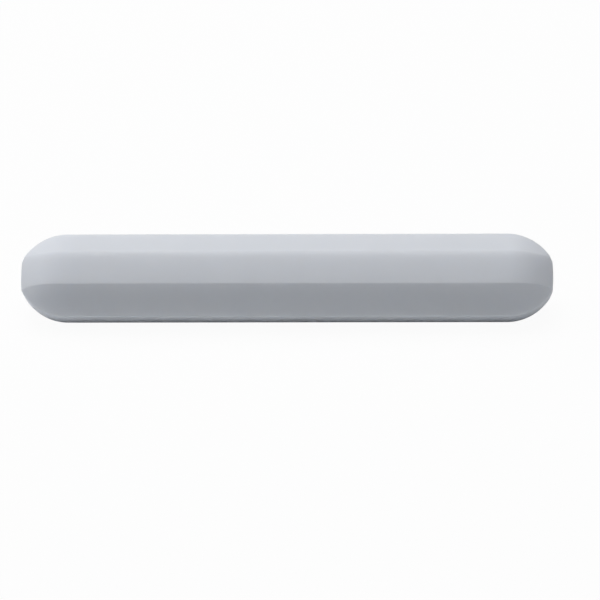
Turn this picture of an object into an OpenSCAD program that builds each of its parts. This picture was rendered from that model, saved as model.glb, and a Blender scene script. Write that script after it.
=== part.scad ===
// Magnetic stir bar: a moulded white PTFE jacket with eight flats and curved noses,
// closed all round a cylindrical permanent magnet. Millimetres. It lies on one main flat,
// with its length along X and the origin at the centre of the flat that it rests on.

/* [Bar] */
// Overall length, tip to tip
bar_length = 76.2; // [50:0.1:100]
// Diameter of the round that the eight long corners lie on
bar_diameter = 12.7; // [11.5:0.05:16]
// Depth of the four main flats (top, bottom, front, back) below that round
main_flat_depth = 0.41; // [0.3:0.01:0.8]
// Depth of the four 45 degree flats below that round
diagonal_flat_depth = 0.2; // [0.1:0.01:0.5]

/* [Noses] */
// Length over which the flats curve in, from the straight bar to the square tip
nose_length = 6.4; // [5:0.1:12]
// Corner to corner size of the square tip; the main flats run out to points at its corners
tip_diagonal = 6.6; // [4:0.1:7.5]
// Diameter of the round that trims the square tip's corners
tip_diameter = 6.4; // [4:0.1:7.5]
// Radius of the shallow dome that closes the square tip
dome_radius = 25; // [10:0.5:40]

/* [Magnet] */
// Jacket wall between the magnet and a main flat
side_wall = 1.94; // [1:0.01:3]
// Jacket thickness between the magnet's end and the tip
end_wall = 7.1; // [5:0.1:15]
// Chamfer round each end of the magnet
magnet_chamfer = 0.6; // [0.2:0.05:1.5]
// Clearance all round the magnet in its closed pocket
magnet_clearance = 0.02; // [0.01:0.01:0.1]

/* [Hidden] */
$fn = 128;

bar_radius = bar_diameter / 2;
main_flat = bar_radius - main_flat_depth;         // from the axis to a main flat
diagonal_flat = bar_radius - diagonal_flat_depth; // from the axis to a 45 degree flat
tip_radius = tip_diameter / 2;                    // from the axis to a trimmed corner of the square tip
tip_corner = tip_diagonal / 2;                    // from the axis to a corner of the square tip
tip_side = tip_corner / sqrt(2);                  // from the axis to a side of the square tip
dome_centre = bar_length / 2 - dome_radius;
shoulder = dome_centre + dome_reach(tip_corner);  // where the square tip's corners lie along X
nose_start = shoulder - nose_length;
magnet_radius = main_flat - side_wall;
magnet_half = bar_length / 2 - end_wall;

// How far along X from its own centre the dome still has the given radius about the axis
function dome_reach(radius) = sqrt(dome_radius * dome_radius - radius * radius);

// Radius of the arc that leaves a flat smoothly and falls by drop over the given length
function arc_radius(length, drop) = (length * length + drop * drop) / (2 * drop);

// Draws the child at both ends of the bar
module both_ends() for (end = [0, 1]) mirror([end, 0, 0]) children();

// Outline between two opposite flats, from the middle of the bar to one end: straight,
// then an arc on each side, which the dome cuts off at the tip
module flat_outline(flat, tip) {
    r = arc_radius(nose_length, flat - tip);
    translate([0, -flat]) square([nose_start, 2 * flat]);
    for (side = [0, 1]) mirror([0, side]) intersection() {
        translate([nose_start, flat - r]) circle(r);
        translate([nose_start, 0]) square([r, 2 * flat]);
    }
}

// The space between two opposite flats, wider than the bar and turned about its axis
module flat_pair(flat, tip, angle) {
    rotate([angle + 90, 0, 0]) linear_extrude(2 * bar_diameter, center = true)
        both_ends() flat_outline(flat, tip);
}

// The round bar that the flats are pressed into: its noses follow the flats' corners in to the
// tip, and a shallow dome closes each end
module round_bar() {
    r = arc_radius(nose_length, bar_radius - tip_radius);
    both_ends() rotate([0, 90, 0]) rotate_extrude() {
        square([bar_radius, nose_start]);
        intersection() {
            translate([bar_radius - r, nose_start]) circle(r);
            translate([0, dome_centre]) circle(dome_radius);
            translate([0, nose_start]) square(bar_length);
        }
    }
}

// A cylinder along X with chamfered ends, grown all round by a clearance
module magnet_form(clearance) {
    r = magnet_radius + clearance;
    half = magnet_half + clearance;
    rotate([0, 90, 0]) rotate_extrude()
        polygon([[0, -half], [r - magnet_chamfer, -half], [r, magnet_chamfer - half],
                 [r, half - magnet_chamfer], [r - magnet_chamfer, half], [0, half]]);
}

module ptfe_jacket() {
    color([0.90, 0.92, 0.94]) translate([0, 0, main_flat]) difference() {
        intersection() {
            round_bar();
            flat_pair(main_flat, tip_corner, 0);
            flat_pair(main_flat, tip_corner, 90);
            flat_pair(diagonal_flat, tip_side, 45);
            flat_pair(diagonal_flat, tip_side, -45);
        }
        magnet_form(magnet_clearance);
    }
}

module magnet_core() {
    color([0.45, 0.45, 0.47]) translate([0, 0, main_flat]) magnet_form(0);
}

ptfe_jacket();
magnet_core();
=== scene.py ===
"""A moulded PTFE stirring bar round a bar magnet, with its floor, lights and camera.

Everything is in metres. The bar lies along X on the floor at Z = 0, and the frame's own
nodes give its overall sizes and the magnet's place.
"""

import math

import bmesh
import bpy
from bpy.props import FloatProperty, FloatVectorProperty, PointerProperty
from bpy.types import NodeSocket, Operator, Panel, PropertyGroup
from mathutils import Matrix, Vector


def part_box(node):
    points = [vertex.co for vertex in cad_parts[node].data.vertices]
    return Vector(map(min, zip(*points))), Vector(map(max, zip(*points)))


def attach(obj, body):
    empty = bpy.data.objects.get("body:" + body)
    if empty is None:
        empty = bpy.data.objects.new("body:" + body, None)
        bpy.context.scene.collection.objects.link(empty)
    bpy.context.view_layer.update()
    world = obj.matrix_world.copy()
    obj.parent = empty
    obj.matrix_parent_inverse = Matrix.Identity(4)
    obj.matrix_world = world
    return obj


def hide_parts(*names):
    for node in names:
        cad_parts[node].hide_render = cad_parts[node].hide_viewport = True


bl_info = {
    "name": "Stirring bar",
    "version": (1, 0, 0),
    "blender": (4, 5, 0),
    "location": "View3D > Sidebar > Stirring bar",
    "description": "Builds a PTFE stirring bar, its magnet's finish and a studio stage",
    "category": "Add Mesh",
}

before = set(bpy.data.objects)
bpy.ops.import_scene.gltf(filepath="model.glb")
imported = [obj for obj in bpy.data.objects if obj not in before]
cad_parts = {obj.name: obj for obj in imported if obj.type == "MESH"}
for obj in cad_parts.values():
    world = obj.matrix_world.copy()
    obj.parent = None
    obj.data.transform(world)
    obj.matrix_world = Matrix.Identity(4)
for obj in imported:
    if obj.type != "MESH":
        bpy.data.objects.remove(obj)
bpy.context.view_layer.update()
JACKET_LOW, JACKET_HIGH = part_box("ptfe_jacket")
MAGNET_LOW, MAGNET_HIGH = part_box("magnet_core")
MM = 0.001
HALF_ROOT = math.sqrt(0.5)
AXIS_HEIGHT = JACKET_HIGH.z / 2
# Keeps the floor from lying in the same plane as the flat that rests on it.
FLOOR_CLEARANCE = 0.02 * MM
# Faces that meet at a wider turn than this keep a sharp edge between them.
SHARP_TURN = math.radians(30)


def linear(hex_colour):
    """An sRGB hex colour as linear red, green and blue."""
    channels = [int(hex_colour[i : i + 2], 16) / 255 for i in (1, 3, 5)]
    return tuple(c / 12.92 if c <= 0.04045 else ((c + 0.055) / 1.055) ** 2.4 for c in channels)


def length(name, description, default):
    """A length in metres that a user can change."""
    return FloatProperty(
        name=name, description=description, default=default, min=0, precision=5, subtype="DISTANCE"
    )


def angle(name, description, degrees):
    """An angle that a user can change."""
    return FloatProperty(
        name=name, description=description, default=math.radians(degrees), subtype="ANGLE"
    )


def power(name, description, watts):
    """A lamp's power that a user can change."""
    return FloatProperty(name=name, description=description, default=watts, min=0, unit="POWER")


def colour(name, description, hex_colour):
    """A colour that a user can change."""
    return FloatVectorProperty(
        name=name, description=description, default=linear(hex_colour), min=0, max=1, subtype="COLOR"
    )


# ---------------------------------------------------------------- sizes and colours


class JacketSizes(PropertyGroup):
    """The jacket's form"""

    bar_length: length("Length", "Overall length, tip to tip", JACKET_HIGH.x - JACKET_LOW.x)
    main_flat: length("Main flats", "From the axis to a main flat", AXIS_HEIGHT)
    diagonal_flat: length("45 degree flats", "From the axis to a 45 degree flat", 6.15 * MM)
    nose_length: length("Nose length", "Length over which the flats curve in", 6.4 * MM)
    tip_diagonal: length("Square tip", "Corner to corner size of the square tip", 6.6 * MM)
    dome_radius: length("Tip dome", "Radius of the shallow dome on the tip", 25 * MM)
    soft_reach: length("Soft edges", "Reach of their rounding into the top or bottom", 0.5 * MM)
    soft_fade: length("Soft edges' fade", "Their reach into the 45 degree flat", 2.4 * MM)
    crisp_reach: length("Crisp edges", "Reach of their rounding into the front or back", 0.1 * MM)
    crisp_fade: length("Crisp edges' fade", "Their reach into the 45 degree flat", 0.6 * MM)
    rim_round: length("Tip rim", "Reach of the rounding round the tip's rim", 0.12 * MM)
    pocket_clearance: length("Pocket clearance", "From the magnet to its pocket", 0.02 * MM)
    pocket_chamfer: length("Pocket chamfer", "Chamfer round each end of the pocket", 0.6 * MM)


class JacketFinish(PropertyGroup):
    """The jacket's colours"""

    body: colour("PTFE", "Colour of the moulded PTFE", "#DBDFE6")
    cloud: colour("Cloud", "Colour of its slightly denser clouds", "#D6DAE1")


class MagnetFinish(PropertyGroup):
    """The magnet's colours"""

    ground: colour("Ground metal", "Colour of the ground magnet alloy", "#8E8B86")
    pore: colour("Pores", "Colour of the alloy's casting pores", "#4E4B48")


class StageSettings(PropertyGroup):
    """Floor, lamps and camera"""

    floor: colour("Floor", "Colour of the floor", "#F0F1F2")
    floor_radius: length("Floor radius", "Radius of the round floor", 3.0)
    key_power: power("Key lamp", "Power of the large soft lamp overhead", 3.165)
    left_power: power("Left lamp", "Power of the small soft lamp on the left", 0.75)
    camera_distance: length("Camera distance", "From the camera to the bar's middle", 450 * MM)
    camera_elevation: angle("Elevation", "Camera's angle above the horizon", 30.5)
    camera_turn: angle("Turn", "Camera's turn round the bar, to the right of its front", 2.5)
    camera_roll: angle("Roll", "Turn of the camera about its line of sight", -1.37)
    aim_right: length("Aim right", "How far right of the bar's middle the camera aims", 1.88 * MM)
    aim_below: length("Aim below", "How far below the bar's middle the camera aims", 3.11 * MM)
    lens: FloatProperty(
        name="Lens", description="Focal length of the camera", default=188.2, unit="CAMERA"
    )


# ---------------------------------------------------------------- meshes and nodes


def link(data_object):
    """Puts an object in the scene."""
    bpy.context.scene.collection.objects.link(data_object)
    return data_object


def new_piece(name, bm, material):
    """Makes an object of that name from a bmesh, shaded smooth apart from its sharp corners."""
    mesh = bpy.data.meshes.new(name)
    bm.to_mesh(mesh)
    bm.free()
    mesh.shade_smooth()
    mesh.set_sharp_from_angle(angle=SHARP_TURN)
    mesh.materials.append(material)
    return link(bpy.data.objects.new(name, mesh))


def skin(bm, rings, start, end):
    """Covers rings of points with quads, and closes both ends with a fan to the given points."""
    loops = [[bm.verts.new(point) for point in ring] for ring in rings]
    poles = bm.verts.new(start), bm.verts.new(end)
    count = len(loops[0])
    for i in range(count):
        j = (i + 1) % count
        bm.faces.new((poles[0], loops[0][j], loops[0][i]))
        bm.faces.new((poles[1], loops[-1][i], loops[-1][j]))
        for near, far in zip(loops, loops[1:]):
            bm.faces.new((near[i], near[j], far[j], far[i]))


def add_node(tree, kind, inputs=None, **settings):
    """Adds a node with its settings, and sets or links its inputs."""
    node = tree.nodes.new(kind)
    for name, value in settings.items():
        setattr(node, name, value)
    for name, value in (inputs or {}).items():
        if isinstance(value, NodeSocket):
            tree.links.new(value, node.inputs[name])
        else:
            node.inputs[name].default_value = value
    return node


def new_material(name):
    """An empty node material and its tree."""
    material = bpy.data.materials.new(name)
    material.use_nodes = True
    material.node_tree.nodes.clear()
    return material, material.node_tree


def rgba(rgb):
    """A colour with full opacity, as a node's socket takes it."""
    return (*rgb, 1)


def background_share(tree, seen, in_gloss):
    """The share of plain white that a background shows: seen is the share for the camera and through
    glass, and in_gloss the one for reflections. A Math node's inputs are numbered."""
    ray = add_node(tree, "ShaderNodeLightPath").outputs
    rays = {0: ray["Is Camera Ray"], 1: ray["Is Transmission Ray"]}
    clear = add_node(tree, "ShaderNodeMath", rays, operation="MAXIMUM").outputs[0]
    straight = add_node(tree, "ShaderNodeMath", {0: clear, 1: seen}, operation="MULTIPLY").outputs[0]
    terms = {0: ray["Is Glossy Ray"], 1: in_gloss, 2: straight}
    return add_node(tree, "ShaderNodeMath", terms, operation="MULTIPLY_ADD").outputs[0]


# A Mix node has a pair of inputs for each kind of data: these are the colour's.
COLOUR_A, COLOUR_B, COLOUR_OUT = 6, 7, 2
# How far apart a Wave node's bands are at a scale of one.
WAVE_PERIOD = math.tau / 20


# ---------------------------------------------------------------- the jacket


# How often a search halves its range: enough for any length here to a millionth of a millimetre.
HALVINGS = 40
EIGHTH_TURN = math.radians(45)
QUARTER_TURN = math.radians(90)


def solve(function, low, high):
    """Where a rising function reaches zero between low and high."""
    for _ in range(HALVINGS):
        middle = (low + high) / 2
        if function(middle) < 0:
            low = middle
        else:
            high = middle
    return high


class JacketForm:
    """The jacket's outer surface: an octagon with rounded edges, drawn in at both noses."""

    EDGE_STEPS = 8
    FLAT_STEPS = 6
    STRAIGHT_STEPS = 32
    NOSE_STEPS = 44
    RIM_STEPS = 6
    DOME_STEPS = 10
    WELD_DISTANCE = 0.001 * MM

    def __init__(self, sizes):
        self.sizes = sizes
        self.half_length = sizes.bar_length / 2
        self.tip_corner = sizes.tip_diagonal / 2
        self.dome_centre = self.half_length - sizes.dome_radius
        self.nose_start = self.dome_x(self.tip_corner) - sizes.nose_length
        self.columns = list(self.make_columns())

    def dome_x(self, radius):
        """Where the dome lies along X at that radius about the axis."""
        return self.dome_centre + math.sqrt(self.sizes.dome_radius**2 - radius**2)

    def flat_distance(self, flat, tip, x):
        """From the axis to a flat, which leaves the bar as an arc and falls to tip at the nose's end."""
        fall = flat - tip
        radius = (self.sizes.nose_length**2 + fall**2) / (2 * fall)
        along = max(0, x - self.nose_start)
        return flat - radius + math.sqrt(radius**2 - along**2)

    def make_columns(self):
        """The lengthwise columns round the axis. Each lies a share of the way between two stops. A stop is
        a place on a long edge's rounding: the main flat's number, its side, and the turn from it."""
        arcs = []
        for quarter in range(4):
            turns = [EIGHTH_TURN * step / self.EDGE_STEPS for step in range(self.EDGE_STEPS + 1)]
            arcs.append([(quarter, -1, turn) for turn in reversed(turns)])
            arcs.append([(quarter, 1, turn) for turn in turns])
        for arc, next_arc in zip(arcs, arcs[1:] + arcs[:1]):
            for stop in arc[:-1]:
                yield stop, stop, 0
            for step in range(self.FLAT_STEPS):
                yield arc[-1], next_arc[0], step / self.FLAT_STEPS

    def stop_point(self, stop, x):
        """Where a stop lies at x. An edge's rounding is a Bezier curve from the main flat, by the point
        where the flats would meet, to the 45 degree flat. Near the tip a main flat is narrower than its
        two roundings, which then meet."""
        quarter, side, turn = stop
        sizes = self.sizes
        soft = quarter % 2 == 0
        reach = sizes.soft_reach if soft else sizes.crisp_reach
        fade = sizes.soft_fade if soft else sizes.crisp_fade
        peak = self.flat_distance(sizes.diagonal_flat, self.tip_corner * HALF_ROOT, x) / HALF_ROOT
        main = min(self.flat_distance(sizes.main_flat, self.tip_corner, x), peak - reach)
        corner = Vector((peak - main, main))
        start = corner - Vector((reach, 0))
        end = corner + Vector((fade, -fade)) * HALF_ROOT
        early = reach * math.sin(turn)
        late = fade * math.sin(EIGHTH_TURN - turn)
        share = early / (early + late)
        across, out = start.lerp(corner, share).lerp(corner.lerp(end, share), share)
        return Matrix.Rotation(QUARTER_TURN * quarter, 3, "X") @ Vector((x, -side * across, out))

    def column_point(self, column, x):
        """Where a column lies at x."""
        before, after, share = column
        return self.stop_point(before, x).lerp(self.stop_point(after, x), share)

    def nose_column(self, column):
        """A column's points from the nose's start, over the tip's rim and up the dome to near its middle."""
        sizes = self.sizes
        centre = Vector((self.dome_centre, 0, 0))

        def beyond_dome(x):
            return (self.column_point(column, x) - centre).length - sizes.dome_radius

        corner = self.column_point(column, solve(beyond_dome, self.nose_start, self.half_length))

        def within_rim(x):
            return sizes.rim_round - (self.column_point(column, x) - corner).length

        rim_x = solve(within_rim, self.nose_start, corner.x)
        rim_start = self.column_point(column, rim_x)
        outward = corner.yz.normalized()
        inner_radius = corner.yz.length - sizes.rim_round
        rim_end = Vector((self.dome_x(inner_radius), *(outward * inner_radius)))
        points = []
        for step in range(self.NOSE_STEPS):
            x = self.nose_start + (rim_x - self.nose_start) * step / self.NOSE_STEPS
            points.append(self.column_point(column, x))
        for step in range(self.RIM_STEPS):
            share = step / self.RIM_STEPS
            points.append(rim_start.lerp(corner, share).lerp(corner.lerp(rim_end, share), share))
        for step in range(self.DOME_STEPS):
            radius = inner_radius * (1 - step / self.DOME_STEPS)
            points.append(Vector((self.dome_x(radius), *(outward * radius))))
        return points

    def add_to(self, bm):
        """Adds the closed outer surface, about the bar's own axis."""
        nose = list(zip(*[self.nose_column(column) for column in self.columns]))
        far_nose = [[Vector((-p.x, p.y, p.z)) for p in ring] for ring in reversed(nose)]
        straight = []
        for step in range(1, self.STRAIGHT_STEPS):
            x = self.nose_start * (2 * step / self.STRAIGHT_STEPS - 1)
            straight.append([Vector((x, p.y, p.z)) for p in nose[0]])
        skin(bm, far_nose + straight + nose, (-self.half_length, 0, 0), (self.half_length, 0, 0))
        # A main flat ends in a point near the tip, where its columns have run together.
        bmesh.ops.remove_doubles(bm, verts=bm.verts, dist=self.WELD_DISTANCE)


def add_pocket(bm, sizes):
    """Adds the magnet's closed pocket, with its faces turned towards the magnet."""
    sides = 96
    radius = (MAGNET_HIGH.y - MAGNET_LOW.y) / 2 + sizes.pocket_clearance
    half = MAGNET_HIGH.x + sizes.pocket_clearance
    chamfer = sizes.pocket_chamfer
    outline = [(half, radius - chamfer), (half - chamfer, radius)]
    outline += [(-x, r) for x, r in reversed(outline)]
    turns = [math.tau * side / sides for side in range(sides)]
    rings = [[(x, -r * math.sin(turn), r * math.cos(turn)) for turn in turns] for x, r in outline]
    skin(bm, rings, (half, 0, 0), (-half, 0, 0))


def moulded_ptfe(finish):
    """PTFE powder, pressed and sintered in a mould. It is a waxy, slightly bluish white that light
    enters for a few millimetres, so edges glow softly, and its skin is satin with a faint grain."""
    material, tree = new_material("moulded_ptfe")
    place = add_node(tree, "ShaderNodeTexCoord").outputs["Object"]
    cloud_size = 7 * MM
    # The sintered powder's grain is about 0.05 mm and too fine to show, so it is drawn at 0.35 mm.
    grain_size = 0.35 * MM
    clouds = add_node(
        tree, "ShaderNodeTexNoise", {"Vector": place, "Scale": 1 / cloud_size, "Detail": 3}
    ).outputs["Fac"]
    grain = add_node(
        tree, "ShaderNodeTexNoise", {"Vector": place, "Scale": 1 / grain_size, "Detail": 2}
    ).outputs["Fac"]
    tint = add_node(
        tree,
        "ShaderNodeMix",
        {"Factor": clouds, COLOUR_A: rgba(finish.body), COLOUR_B: rgba(finish.cloud)},
        data_type="RGBA",
    )
    roughness = add_node(
        tree, "ShaderNodeMapRange", {"Value": grain, "To Min": 0.5, "To Max": 0.6}
    )
    bump = add_node(
        tree, "ShaderNodeBump", {"Height": grain, "Strength": 0.25, "Distance": 0.01 * MM}
    )
    surface = add_node(
        tree,
        "ShaderNodeBsdfPrincipled",
        {
            "Base Color": tint.outputs[COLOUR_OUT],
            "Roughness": roughness.outputs["Result"],
            "IOR": 1.35,
            "Subsurface Weight": 0.7,
            "Subsurface Radius": (1, 0.95, 0.9),
            "Subsurface Scale": 4 * MM,
            "Normal": bump.outputs["Normal"],
        },
    )
    add_node(tree, "ShaderNodeOutputMaterial", {"Surface": surface.outputs["BSDF"]})
    return material


class STIRBAR_OT_jacket(Operator):
    """Build the moulded jacket, with its rounded edges, noses, domed tips and closed pocket"""

    bl_idname = "stirbar.jacket"
    bl_label = "Build the jacket"

    def execute(self, context):
        sizes = context.scene.stirbar_jacket
        bm = bmesh.new()
        JacketForm(sizes).add_to(bm)
        add_pocket(bm, sizes)
        bmesh.ops.translate(bm, verts=bm.verts, vec=(0, 0, AXIS_HEIGHT))
        jacket = new_piece("jacket", bm, moulded_ptfe(context.scene.stirbar_jacket_finish))
        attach(jacket, "root")
        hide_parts("ptfe_jacket")
        return {"FINISHED"}


# ---------------------------------------------------------------- the magnet


def cast_magnet_alloy(finish):
    """Aluminium-nickel-cobalt alloy, cast and ground. It is a dull grey metal with fine grinding lines
    round it and small dark casting pores."""
    material, tree = new_material("cast_magnet_alloy")
    place = add_node(tree, "ShaderNodeTexCoord").outputs["Object"]
    line_spacing = 0.2 * MM
    pore_spacing = 1.2 * MM
    lines = add_node(
        tree,
        "ShaderNodeTexWave",
        {"Vector": place, "Scale": WAVE_PERIOD / line_spacing, "Distortion": 1.5, "Detail": 2},
        bands_direction="X",
    ).outputs["Fac"]
    pores = add_node(
        tree, "ShaderNodeTexVoronoi", {"Vector": place, "Scale": 1 / pore_spacing}
    ).outputs["Distance"]
    metal = add_node(tree, "ShaderNodeMapRange", {"Value": pores, "From Min": 0.06, "From Max": 0.12})
    tint = add_node(
        tree,
        "ShaderNodeMix",
        {
            "Factor": metal.outputs["Result"],
            COLOUR_A: rgba(finish.pore),
            COLOUR_B: rgba(finish.ground),
        },
        data_type="RGBA",
    )
    roughness = add_node(tree, "ShaderNodeMapRange", {"Value": lines, "To Min": 0.38, "To Max": 0.5})
    bump = add_node(
        tree, "ShaderNodeBump", {"Height": lines, "Strength": 0.3, "Distance": 0.005 * MM}
    )
    surface = add_node(
        tree,
        "ShaderNodeBsdfPrincipled",
        {
            "Base Color": tint.outputs[COLOUR_OUT],
            "Metallic": 1,
            "Roughness": roughness.outputs["Result"],
            "Normal": bump.outputs["Normal"],
        },
    )
    add_node(tree, "ShaderNodeOutputMaterial", {"Surface": surface.outputs["BSDF"]})
    return material


class STIRBAR_OT_magnet(Operator):
    """Give the bar magnet inside the jacket its cast and ground finish"""

    bl_idname = "stirbar.magnet"
    bl_label = "Finish the magnet"

    def execute(self, context):
        finish = cast_magnet_alloy(context.scene.stirbar_magnet_finish)
        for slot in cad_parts["magnet_core"].material_slots:
            slot.material = finish
        return {"FINISHED"}


# ---------------------------------------------------------------- floor, lamps and camera


# Where each soft lamp hangs, and the length of its side, in metres.
KEY_PLACE, KEY_SIDE = (-0.05, 0.06, 0.6), 0.5
LEFT_PLACE, LEFT_SIDE = (-0.5, 0.05, 0.3), 0.35
FLOOR_SIDES = 96


def painted_floor(settings):
    """A board with matt white paint. The lit board reads as plain white to the camera, and keeps a
    pale shadow under the bar."""
    material, tree = new_material("painted_floor")
    # Short of plain white, so that the bar's shadow shows, and dim in gloss, as lit paint is.
    share = background_share(tree, seen=0.95, in_gloss=0.25)
    paint = add_node(
        tree, "ShaderNodeBsdfDiffuse", {"Color": rgba(settings.floor), "Roughness": 0.5}
    )
    white = add_node(tree, "ShaderNodeEmission", {"Strength": 1})
    mixed = add_node(
        tree,
        "ShaderNodeMixShader",
        {0: share, 1: paint.outputs["BSDF"], 2: white.outputs["Emission"]},
    )
    add_node(tree, "ShaderNodeOutputMaterial", {"Surface": mixed.outputs["Shader"]})
    return material


def add_lamp(name, place, side, watts):
    """A square soft light, aimed at the middle of the bar."""
    lamp = bpy.data.lights.new(name, "AREA")
    lamp.size = side
    lamp.energy = watts
    holder = link(bpy.data.objects.new(name, lamp))
    holder.location = place
    aim = Vector((0, 0, AXIS_HEIGHT)) - holder.location
    holder.rotation_euler = aim.to_track_quat("-Z", "Y").to_euler()


def add_world():
    """A dim room that is plain white to the camera, in gloss and through glass."""
    world = bpy.data.worlds.new("room")
    bpy.context.scene.world = world
    world.use_nodes = True
    tree = world.node_tree
    tree.nodes.clear()
    # How much of that white lights the bar and the floor.
    room_light = 0.045
    share = background_share(tree, seen=1, in_gloss=1)
    strength = add_node(
        tree, "ShaderNodeMapRange", {"Value": share, "To Min": room_light}
    ).outputs["Result"]
    sky = add_node(tree, "ShaderNodeBackground", {"Color": (1, 1, 1, 1), "Strength": strength})
    add_node(tree, "ShaderNodeOutputWorld", {"Surface": sky.outputs["Background"]})


def add_camera(settings):
    """A long lens in front of the bar, looking down on it."""
    camera = bpy.data.cameras.new("camera")
    camera.lens = settings.lens
    camera.clip_start = 10 * MM
    holder = link(bpy.data.objects.new("camera", camera))
    turn = Matrix.Rotation(settings.camera_turn, 3, "Z")
    tilt = Matrix.Rotation(QUARTER_TURN - settings.camera_elevation, 3, "X")
    stance = turn @ tilt @ Matrix.Rotation(settings.camera_roll, 3, "Z")
    middle = Vector((0, 0, AXIS_HEIGHT))
    holder.location = middle + stance @ Vector((0, 0, settings.camera_distance))
    aim = Vector((settings.aim_right, -settings.aim_below, -settings.camera_distance))
    look = Vector((0, 0, -1)).rotation_difference(aim).to_matrix()
    holder.rotation_euler = (stance @ look).to_euler()
    bpy.context.scene.camera = holder


class STIRBAR_OT_stage(Operator):
    """Set up the floor, the soft lamps, the room light and the camera"""

    bl_idname = "stirbar.stage"
    bl_label = "Set up the stage"

    def execute(self, context):
        settings = context.scene.stirbar_stage
        bm = bmesh.new()
        bmesh.ops.create_circle(
            bm, cap_ends=True, segments=FLOOR_SIDES, radius=settings.floor_radius
        )
        bmesh.ops.translate(bm, verts=bm.verts, vec=(0, 0, -FLOOR_CLEARANCE))
        floor = new_piece("floor", bm, painted_floor(settings))
        add_lamp("key_softbox", KEY_PLACE, KEY_SIDE, settings.key_power)
        add_lamp("left_softbox", LEFT_PLACE, LEFT_SIDE, settings.left_power)
        add_world()
        add_camera(settings)
        context.scene.view_settings.view_transform = "Standard"
        return {"FINISHED"}


# ---------------------------------------------------------------- panel and registration


class STIRBAR_PT_sidebar(Panel):
    """Lists the bar's pieces and their settings"""

    bl_label = "Stirring bar"
    bl_space_type = "VIEW_3D"
    bl_region_type = "UI"
    bl_category = "Stirring bar"

    def draw(self, context):
        for operator, group_names in PARTS:
            box = self.layout.box()
            box.operator(operator.bl_idname)
            for group_name in group_names:
                group = getattr(context.scene, group_name)
                for setting in group.__annotations__:
                    box.prop(group, setting)


GROUPS = {
    "stirbar_jacket": JacketSizes,
    "stirbar_jacket_finish": JacketFinish,
    "stirbar_magnet_finish": MagnetFinish,
    "stirbar_stage": StageSettings,
}
PARTS = (
    (STIRBAR_OT_jacket, ("stirbar_jacket", "stirbar_jacket_finish")),
    (STIRBAR_OT_magnet, ("stirbar_magnet_finish",)),
    (STIRBAR_OT_stage, ("stirbar_stage",)),
)
CLASSES = (*GROUPS.values(), *(operator for operator, _ in PARTS), STIRBAR_PT_sidebar)


def register():
    """Adds the classes and each settings group to Blender."""
    for cls in CLASSES:
        bpy.utils.register_class(cls)
    for name, group in GROUPS.items():
        setattr(bpy.types.Scene, name, PointerProperty(type=group))


def unregister():
    """Takes the settings groups and the classes away again."""
    for name in GROUPS:
        delattr(bpy.types.Scene, name)
    for cls in reversed(CLASSES):
        bpy.utils.unregister_class(cls)


def main():
    """Builds everything in order."""
    register()
    bpy.ops.stirbar.jacket()
    bpy.ops.stirbar.magnet()
    bpy.ops.stirbar.stage()
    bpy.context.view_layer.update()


if __name__ == "__main__":
    main()
